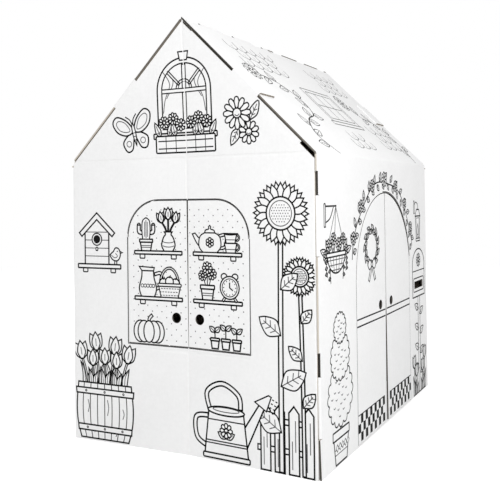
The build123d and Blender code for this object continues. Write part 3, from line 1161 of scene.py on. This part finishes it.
def attic_window(pen):
    frame_arch = oval(0, 112, 76, 76, 0, 180, 24)
    pen.shape([Vector((-76, 10)), Vector((76, 10))] + frame_arch)
    pen.shape([Vector((-63, 22)), Vector((63, 22))] + oval(0, 112, 63, 63, 0, 180, 24), 2.8)
    for side in (-1, 1):
        curtain = curve([(side * 60, 160), (side * 40, 128), (side * 54, 92), (side * 60, 60)])
        pen.fine(curtain)
        pen.fine(curve([(side * 46, 160), (side * 30, 132), (side * 50, 94)]))
    for turn in (45, -45):
        pen.at(0, 112, 1, turn).shape(block(-3, 20, 3, 63), 2.4)
    pen.shape(block(-5, 22, 5, 172), 2.4)
    pen.shape(block(-63, 107, 63, 116), 2.4)
    pen.line(oval(0, 116, 22, 22, 0, 180, 12), 2.4)
    pen.fine(oval(0, 116, 16, 16, 0, 180, 10))
    pen.shape([(-10, 182), (10, 182), (14, 202), (-14, 202)], 2.8)
    pen.shape(block(-90, 0, 90, 12, 2))
    for across, turn in ((-70, 24), (-48, -16), (-28, 14), (26, -10), (50, 18), (70, -26)):
        leaf(pen, across, 2, 40, 15, turn, 1)
    for across, up in ((-60, 38), (-34, 46), (-14, 31), (16, 36), (38, 46), (62, 36)):
        daisy(pen, across, up, 14.5, 9, 0.32, across)
    pen.shape(block(-84, -34, 84, 6, 3))
    for across in (-56, -28, 28, 56):
        pen.fine([(across, -32), (across, 4)])
    pen.line([(-78, -6), (78, -6)], 2.4)
    pen.line([(-78, -24), (78, -24)], 2.4)


tell(butterfly)
tell(attic_window)

# %% [markdown]
# The door wall has pictures of its own. A hanging basket and a clipped tree in a pot stand on the
# front side of the doors. Each ball of the tree is a ring of small arcs, turned outwards.

# %% Hanging basket and clipped tree
def hanging_basket(pen):
    pen.shape(block(-68, 118, -60, 172, 2), 2.6)
    pen.line([(-60, 166), (4, 166)], 3)
    pen.line(curve([(-60, 128), (-34, 138), (-14, 164)]), 2.8)
    for foot in (-50, -12, 46):
        pen.line([(0, 164), (foot, 70)], FINE)
    for across, turn in ((-52, 70), (-40, 30), (-16, 8), (18, -12), (42, -36), (54, -74)):
        leaf(pen, across, 52, 40, 17, turn, 1)
    flowers = ((-44, 74, 15), (-16, 88, 15), (14, 74, 16), (42, 86, 14), (60, 58, 13), (-62, 50, 13))
    for across, up, size in flowers:
        daisy(pen, across, up, size, 8, 0.34, across)
    for across, low in ((-52, 0), (-34, -16), (38, -12), (56, 6)):
        pen.line(curve([(across, 46), (across * 1.12, 24), (across, low)]), 2.4)
        for share in (0.2, 0.5, 0.8):
            leaf(pen, across, low + (46 - low) * share, 13, 8, 100 if across < 0 else -100, 0)
    bowl = oval(0, 52, 52, 46, 180, 360, 18)
    pen.shape(bowl)
    for level in (14, 26, 38):
        reach = 52 * math.sqrt(max(0.0, 1 - (level / 46) ** 2))
        pen.fine([(-reach, 52 - level), (reach, 52 - level)])
    for across in (-36, -18, 0, 18, 36):
        depth = 46 * math.sqrt(1 - (across / 52) ** 2)
        pen.fine(curve([(across, 50), (across * 0.9, 52 - depth * 0.6), (across * 0.7, 54 - depth)]))
    pen.shape(block(-56, 46, 56, 56, 4), 2.8)


def clipped_tree(pen):
    pen.shape(block(-5, 66, 5, 300), 2.8)
    for level, radius in ((150, 60), (236, 46), (300, 30)):
        edge = []
        for angle in (22.5 * i for i in range(16)):
            middle = towards(angle) * radius
            edge += oval(middle.x, level + middle.y, radius * 0.2, None, angle - 76, angle + 76, 8)
        pen.shape(edge, 2.6)
        sprigs = radius / 3.2
        for i in range(int(sprigs)):
            spot = towards(math.degrees(2.4 * i)) * radius * 0.82 * math.sqrt((i + 0.5) / sprigs)
            pen.fine(oval(spot.x, level + spot.y, 5, 4, 200, 340, 6))
    flower_pot(pen, 92, 74)
    for across in (-22.5, -7.5, 7.5, 22.5, 37.5):
        pen.at(across, 36).shape([(-7.5, 0), (0, 8), (7.5, 0), (0, -8)], FINE, "grey")


tell(hanging_basket)
tell(clipped_tree)

# %% [markdown]
# A vine grows over the doors' arch and a wreath hangs on one leaf. The leaves and flowers along
# the arch or the ring are placed by their angle. On the vine they point to both sides in turn, as
# leaves grow on a stem.

# %% Vine arch and wreath
def vine_arch(pen, radius):
    """A leafy stem over a round arch, with a flower here and there."""
    pen.line([towards(a) * (radius + 4 * towards(7.5 * a).y) for a in range(12, 169, 2)], 3)
    for i, angle in enumerate(range(14, 168, 5)):
        side, length = (1, 27) if i % 2 else (-1, 21)
        spot = towards(angle) * (radius + side * 3)
        leaf(pen, spot.x, spot.y, length, 14, angle - side * 125, 1)
    for angle in range(24, 157, 22):
        spot = towards(angle) * (radius + 6)
        daisy(pen, spot.x, spot.y, 20 if angle == 90 else 16, 9, 0.34, angle)


def wreath(pen, radius):
    for i in range(22):
        angle = 360 / 22 * i
        spot = towards(angle) * radius
        leaf(pen, spot.x, spot.y, 25, 12, angle + (30 if i % 2 else -18), 1)
    for i in range(7):
        berry = towards(360 / 7 * i + 64) * radius
        pen.shape(oval(berry.x, berry.y, 4.5, steps=12), 2.4)
    knot = pen.at(0, -radius)
    for side in (-1, 1):
        knot.shape(strap(curve([(0, 0), (side * 12, -22), (side * 22, -40)]), 9), 2.6)
        knot.shape(curve([(0, 0), (side * 16, 13), (side * 28, 0), (side * 16, -12)], True), 2.8)
    knot.shape(oval(0, 0, 6, steps=14), 2.8)


tell(vine_arch, 238)
tell(wreath, 44)

# %% [markdown]
# The letter slot becomes the mouth of a letter box on a post: its plate is drawn round the slot,
# under a rounded top with a flower. A lamp hangs on the wall above it.

# %% Letter box and lamp
def letter_box(pen, slot_height):
    pen.shape(block(-9, 4, 9, slot_height - 30), 2.6)
    box = pen.at(0, slot_height)
    box.shape([Vector((-60, -36)), Vector((60, -36))] + oval(0, 60, 60, 48, 0, 180, 20))
    box.shape(block(-50, -20, 50, 20, 5), 2.8)
    box.line([(-58, 42), (58, 42)], 2.4)
    daisy(box, 0, 74, 20, 10)
    for across, turn in ((-5, 66), (5, -66)):
        for level in (60, 120, 180, 240):
            leaf(pen, across, level + (16 if turn > 0 else 0), 40, 20, turn, 1)
    for across, tall, lean in ((-48, 84, -6), (44, 96, 5), (26, 60, 4), (-28, 56, -3)):
        blade(pen, across - 8, 4, tall * 0.7, 13, -10)
        tulip(pen, across, 4, tall, lean, 0.9)
        blade(pen, across + 8, 4, tall * 0.6, 13, 10)


def wall_lamp(pen):
    pen.line(curve([(0, 96), (0, 112), (-22, 118), (-34, 104)]), 2.6)
    pen.shape(block(-40, 84, -31, 122, 2), 2.6)
    pen.shape([(-26, 76), (26, 76), (12, 96), (-12, 96)])
    pen.shape([(-16, 6), (16, 6), (23, 76), (-23, 76)])
    pen.shape([(-9, 12), (9, 12), (15, 70), (-15, 70)], FINE, "grey")
    pen.shape(both_sides([(5, 18), (7, 34), (0, 52)]), 2.4)
    pen.shape(block(-20, 0, 20, 8, 2), 2.8)


tell(letter_box, 330)
tell(wall_lamp)

# %% [markdown]
# The gable's artwork starts with the shutters in its middle. The line round them is printed just
# outside the kerf at top and foot, and over the hinge creases at the sides. Inside it is a field
# of small grey dots, which leaves room round the finger holes and the gap between the leaves.

# %% The shutters
shutter = {"half": 170.5, "sill": 252, "top": 597, "corner": 88}
finger_hole = {"across": 33, "height": 319, "radius": 12.5}
dot_step = 27


def shutter_outline(grow=0.0):
    half, r = shutter["half"] + grow, shutter["corner"] + grow
    sill, spring = shutter["sill"] - grow, shutter["top"] - shutter["corner"]
    return ([Vector((-half, sill)), Vector((half, sill))] + oval(half - r, spring, r, r, 0, 90, 14)
            + oval(r - half, spring, r, r, 90, 180, 14))


def draw_dots(pen):
    field = shutter_outline(-9)
    for row in range(26):
        for column in range(-7, 8):
            spot = Vector(((column + (row % 2) / 2 - 0.25) * dot_step, 264 + row * dot_step / 2))
            to_hole = Vector((abs(spot.x) - finger_hole["across"], spot.y - finger_hole["height"]))
            clear = abs(spot.x) > 5 and to_hole.length > finger_hole["radius"] + 4.5
            if clear and is_inside(spot, field):
                pen.patch(oval(spot.x, spot.y, 1.5, 1.5, steps=8), "grey")


def draw_shutters(pen):
    draw_dots(pen)
    outline = shutter_outline(2.2)
    pen.line(outline + outline[:1], 1.7)
    for hinge in (-shutter["half"] - 0.9, shutter["half"] + 0.9):
        pen.line([(hinge, shutter["sill"] - 2), (hinge, 512)], 3.0)


tell(draw_shutters)

# %% [markdown]
# Then the pictures find their places. Each is put where its foot stands, in millimetres from the
# middle of the gable and from the floor. Ink doesn't hold in a crease, a cut or a finger hole, so
# those places are cleared at the end. The back gable gets the shutters and no pictures.

# %% Artwork of the gable
shelf_heights = (476, 366)


def fill_shelves(pen):
    upper, lower = shelf_heights
    for left, right in ((-152, -16), (16, 152)):
        shelf(pen, left, right, upper)
        shelf(pen, left, right, lower)
    cactus(pen.at(-118, upper))
    vase(pen.at(-54, upper))
    jug(pen.at(-114, lower))
    basket(pen.at(-52, lower))
    pumpkin(pen.at(-112, 256))
    teapot(pen.at(64, upper))
    cups(pen.at(122, upper))
    potted = pen.at(56, lower)
    flower_pot(potted, 40, 34)
    for across, tall, size in ((-13, 56, 12), (13, 60, 13), (0, 74, 14)):
        potted.line([(across * 0.4, 34), (across, tall)], 2)
        daisy(potted, across, tall, size, 8, 0.34, across)
    clock(pen.at(118, lower))
    seedlings(pen.at(76, 256))


def clear_folds(panel):
    sill, top, crease_half, gap_half, corner = shutter["sill"], shutter["top"], 1.3, 3.4, 338
    for low, high, half in ((0, sill, crease_half), (sill, top, gap_half), (top, 1027, crease_half)):
        panel.hide(block(-half, low, half, high))
    for side in (-1, 1):
        panel.hide(oval(side * finger_hole["across"], finger_hole["height"], finger_hole["radius"] + 1.5))
        panel.hide([Vector((side * p.x, p.y)) for p in block(corner, -20, corner + 82, 690)])


def gable_artwork(name, plain=False):
    panel = Panel(name, 1.2)
    pen = Pen(panel)
    draw_shutters(pen)
    if not plain:
        fill_shelves(pen)
        bird_house(pen.at(-260, 440))
        tulip_barrel(pen.at(-247, 4, 0.93))
        picket_fence(pen, 197, 4, 150)
        sunflower(pen, 306, 8, 430, 42, ((150, -42, 44), (250, 50, 44), (330, -40, 40)), -6)
        sunflower(pen, 250, 11, 566, 70, ((90, 58, 74), (190, -60, 72), (300, 56, 66), (400, -50, 56)), 4)
        watering_can(pen.at(104, 6))
        attic_window(pen.at(0, 744))
        butterfly(pen.at(-148, 764, 0.88, 12))
        daisy(pen, 176, 748, 27, 10)
        leaf(pen, 150, 760, 46, 22, 150, 2)
        leaf(pen, 180, 774, 50, 22, -30, 2)
        daisy(pen, 146, 792, 37, 12)
    clear_folds(panel)
    return panel


creases = [0.01, 2.2, 4.0] + [shutter["half"] + across for across in (-4, 0, 4)]
gable_folds = [side * across for side in (-1, 1) for across in creases]
print_panel(gable_artwork("front_gable_print"), front_gable, gable_folds)
print_panel(gable_artwork("back_gable_print", True), front_gable, gable_folds, True)

# %% [markdown]
# The wall's artwork is measured along the wall from its free edge at the front corner. The doors
# carry a common pattern, two rules and a strip of chequers. Each leaf's strip stops short of the
# gap between them, because the print keeps clear of a long cut. The rules meet the near hinge a
# little low, where that leaf hangs by its crease.

# %% The doors
door = {"centre": 424, "half": 208, "spring": 401, "hole_across": 42, "hole_height": 317}
letter_slot = {"centre": 722.5, "height": 330}
rule_heights = (300, 283)
chequers = {"rows": 3, "columns": 12, "foot": 10, "row_height": 21.5}


def draw_chequers(pen, start, end):
    """A strip of squares from the gap's side to the hinge's side of a leaf."""
    width, height = (end - start) / chequers["columns"], chequers["row_height"]
    for row in range(chequers["rows"]):
        for column in range(row % 2, chequers["columns"], 2):
            x0, x1 = sorted((start + width * column, start + width * (column + 1)))
            foot = chequers["foot"] + height * row
            pen.patch(block(x0, foot, x1, foot + height))


def draw_doors(pen):
    gap_half, strip_gap, droop = 5.5, 20, 3
    strip_top = chequers["foot"] + chequers["rows"] * chequers["row_height"]
    for side in (-1, 1):
        hinge, near = door["centre"] + side * door["half"], side < 0
        for height in rule_heights:
            outer = (hinge - side * 2, height + (droop if near else 0))
            pen.line([outer, (door["centre"] + side * gap_half, height)], 3)
        strip_start = door["centre"] + side * strip_gap
        draw_chequers(pen, strip_start, hinge - side)
        pen.line([(hinge - side * 2, strip_top), (strip_start, strip_top)], 2.2)
        pen.line([(hinge, 5), (hinge, door["spring"])], 1.6 if near else 1.0, "grey")
    pen.line(oval(door["centre"], door["spring"], door["half"] + 3, None, 6, 94, 24), 2.2)


tell(draw_doors)

# %% [markdown]
# The wall's pictures stand round the doors. Again the holes and the letter slot are cleared at the
# end. The folds, where the ink has to bend, are the creases at the two hinges.

# %% Artwork of the door wall
def wall_artwork(name, plain=False):
    panel = Panel(name, 1.25)
    pen = Pen(panel)
    draw_doors(pen)
    if not plain:
        vine_arch(pen.at(door["centre"], door["spring"]), 238)
        hanging_basket(pen.at(98, 424, 0.94))
        clipped_tree(pen.at(112, 5))
        wreath(pen.at(322, 472), 44)
        letter_box(pen.at(letter_slot["centre"], 0), letter_slot["height"])
        wall_lamp(pen.at(letter_slot["centre"], 462))
    for side in (-1, 1):
        panel.hide(oval(door["centre"] + side * door["hole_across"], door["hole_height"], 14))
    across, up = letter_slot["centre"], letter_slot["height"]
    panel.hide(block(across - 43, up - 12, across + 43, up + 12))
    return panel


hinges = [door["centre"] + side * door["half"] for side in (-1, 1)]
wall_folds = [hinge + across for hinge in hinges for across in (-4, 0, 4)]
print_panel(wall_artwork("right_wall_print"), right_wall, wall_folds)
print_panel(wall_artwork("left_wall_print", True), right_wall, wall_folds, True)

# %% [markdown]
# The roof is seen at a flat angle, so its artwork is large and open: patches of rounded tiles, a
# roof window, and a vine that has climbed over the eave.

# %% Tiles, roof window and vine
def tiles(pen, x, y, rows, columns, width=46, height=34):
    for row in range(rows):
        for column in range(columns - row % 2):
            left = x + (column + (row % 2) / 2) * width
            foot = y + row * height
            bend = height * 0.45
            edge = [Vector((left, foot + height)), Vector((left, foot + bend))]
            edge += oval(left + width / 2, foot + bend, width / 2, bend, 180, 360, 10)
            pen.line(edge + [Vector((left + width, foot + height))], 2.4, "grey")
            pen.line([(left + width / 2, foot + 7), (left + width / 2, foot + height * 0.6)], 1.4, "grey")


def roof_window(pen, width, height):
    rim, sill = 14, 12
    pen.shape(block(0, 0, width, height, 6), 3)
    pen.shape(block(rim, rim, width - rim, height - rim, 3), 2.6)
    for share in (1 / 3, 2 / 3):
        middle = rim + (width - 2 * rim) * share
        pen.line([(middle, rim), (middle, height - rim)], 2.6)
    pen.line([(rim, height / 2), (width - rim, height / 2)], 2.6)
    pen.shape(block(-sill, -sill, width + sill, 2, 3), 3)


def climbing_vine(pen, line, spacing=34):
    stem = curve(line, steps=12)
    pen.line(stem, 3)
    travelled = 0
    side = 1
    for a, b in zip(stem, stem[1:]):
        travelled += (b - a).length
        if travelled > spacing:
            travelled = 0
            way = math.degrees(math.atan2((b - a).y, (b - a).x)) - 90
            leaf(pen, a.x, a.y, 44, 24, way + side * 52, 1)
            side = -side


tell(tiles, 0, 0, 3, 5)
tell(roof_window, 190, 140)
tell(climbing_vine, [(0, 0), (40, 100), (0, 200)])

# %% [markdown]
# Places on the slope are counted along the eave from the front, and up the slope from the eave.
# The slope has no creases, so its ink needs no folds. The far slope gets tiles only.

# %% Artwork of the roof
def roof_artwork(name, plain=False):
    panel = Panel(name)
    pen = Pen(panel)
    for x, y, rows, columns in ((120, 330, 3, 5), (560, 320, 3, 4), (330, 44, 2, 3), (584, 60, 3, 3)):
        tiles(pen, x, y, rows, columns)
    if not plain:
        roof_window(pen.at(340, 150), 190, 140)
        near_stem = [(140, 6), (112, 70), (160, 130), (230, 160), (250, 220), (200, 280), (110, 300)]
        far_stem = [(726, 6), (758, 90), (728, 180), (650, 210), (600, 270)]
        climbing_vine(pen, near_stem)
        climbing_vine(pen, far_stem)
        daisy(pen, 108, 302, 30, 10)
        daisy(pen, 598, 274, 30, 10)
    return panel


print_panel(roof_artwork("right_slope_print"), right_slope, [])
print_panel(roof_artwork("left_slope_print", True), right_slope, [], True)

# %% [markdown]
# A white object on a white ground is lit softly from everywhere, or its faces vanish or turn
# grey. The world gives most of the light, and the camera sees it as plain white. Three large
# lamps shape the rest: one at the side makes the door wall and the roof a touch brighter than the
# gable, and one in front and one behind fill the view from either side.

# %% World and lamps
def make_world(strength):
    world = bpy.data.worlds.new("studio")
    bpy.context.scene.world = world
    world.use_nodes = True
    tree = world.node_tree
    tree.nodes.clear()
    rays = add(tree, "LightPath").outputs
    seen = maths(tree, "MAXIMUM", rays["Is Camera Ray"], rays["Is Glossy Ray"])
    also = maths(tree, "MAXIMUM", seen, rays["Is Transmission Ray"])
    light = add(tree, "Background", {"Color": (1, 1, 1, 1), "Strength": strength}).outputs[0]
    backdrop = add(tree, "Background", {"Color": (1, 1, 1, 1), "Strength": 1.0}).outputs[0]
    mix = add(tree, "MixShader", {0: also, 1: light, 2: backdrop})
    add(tree, "OutputWorld", {0: mix.outputs[0]})


def make_lamp(name, place, target, size, power):
    data = bpy.data.lights.new(name, "AREA")
    data.size = size
    data.energy = power
    lamp = new_object(name, data)
    lamp.location = place
    lamp.rotation_euler = (Vector(target) - Vector(place)).to_track_quat("-Z", "Y").to_euler()


make_world(0.69)
make_lamp("side", (1.4, -1.05, 1.25), (0.34, -0.3, 0.6), 1.0, 13)
make_lamp("front", (-0.7, -3.0, 2.6), (0, -0.4, 0.8), 2.0, 20)
make_lamp("back", (-2.0, 2.2, 2.0), (-0.2, 0.2, 0.6), 2.0, 22)
print("lamps", [data.name for data in bpy.data.lights])

# %% [markdown]
# The floor is a plain diffuse sheet, and only the camera sees it glow as well. So it looks white
# and still keeps a faint shadow under the walls, and it throws no extra light on the house.

# %% The floor
def make_floor(size, shown_white):
    mesh = bpy.data.meshes.new("floor")
    bm = bmesh.new()
    bmesh.ops.create_grid(bm, x_segments=1, y_segments=1, size=size)
    bm.to_mesh(mesh)
    bm.free()
    floor = new_object("floor", mesh)
    material = bpy.data.materials.new("floor")
    material.use_nodes = True
    tree = material.node_tree
    tree.nodes.clear()
    paint = add(tree, "BsdfDiffuse", {"Color": (0.8, 0.8, 0.8, 1)}).outputs[0]
    glow = add(tree, "Emission", {"Strength": shown_white}).outputs[0]
    both = add(tree, "AddShader", {0: paint, 1: glow}).outputs[0]
    camera_ray = add(tree, "LightPath").outputs["Is Camera Ray"]
    mix = add(tree, "MixShader", {0: camera_ray, 1: paint, 2: both})
    add(tree, "OutputMaterial", {0: mix.outputs[0]})
    mesh.materials.append(material)
    print("floor", 2 * size, "m wide")


make_floor(4, 0.45)

# %% [markdown]
# The last cell sets the colour view to Standard.

# %% The end of the scene
bpy.context.scene.view_settings.view_transform = "Standard"
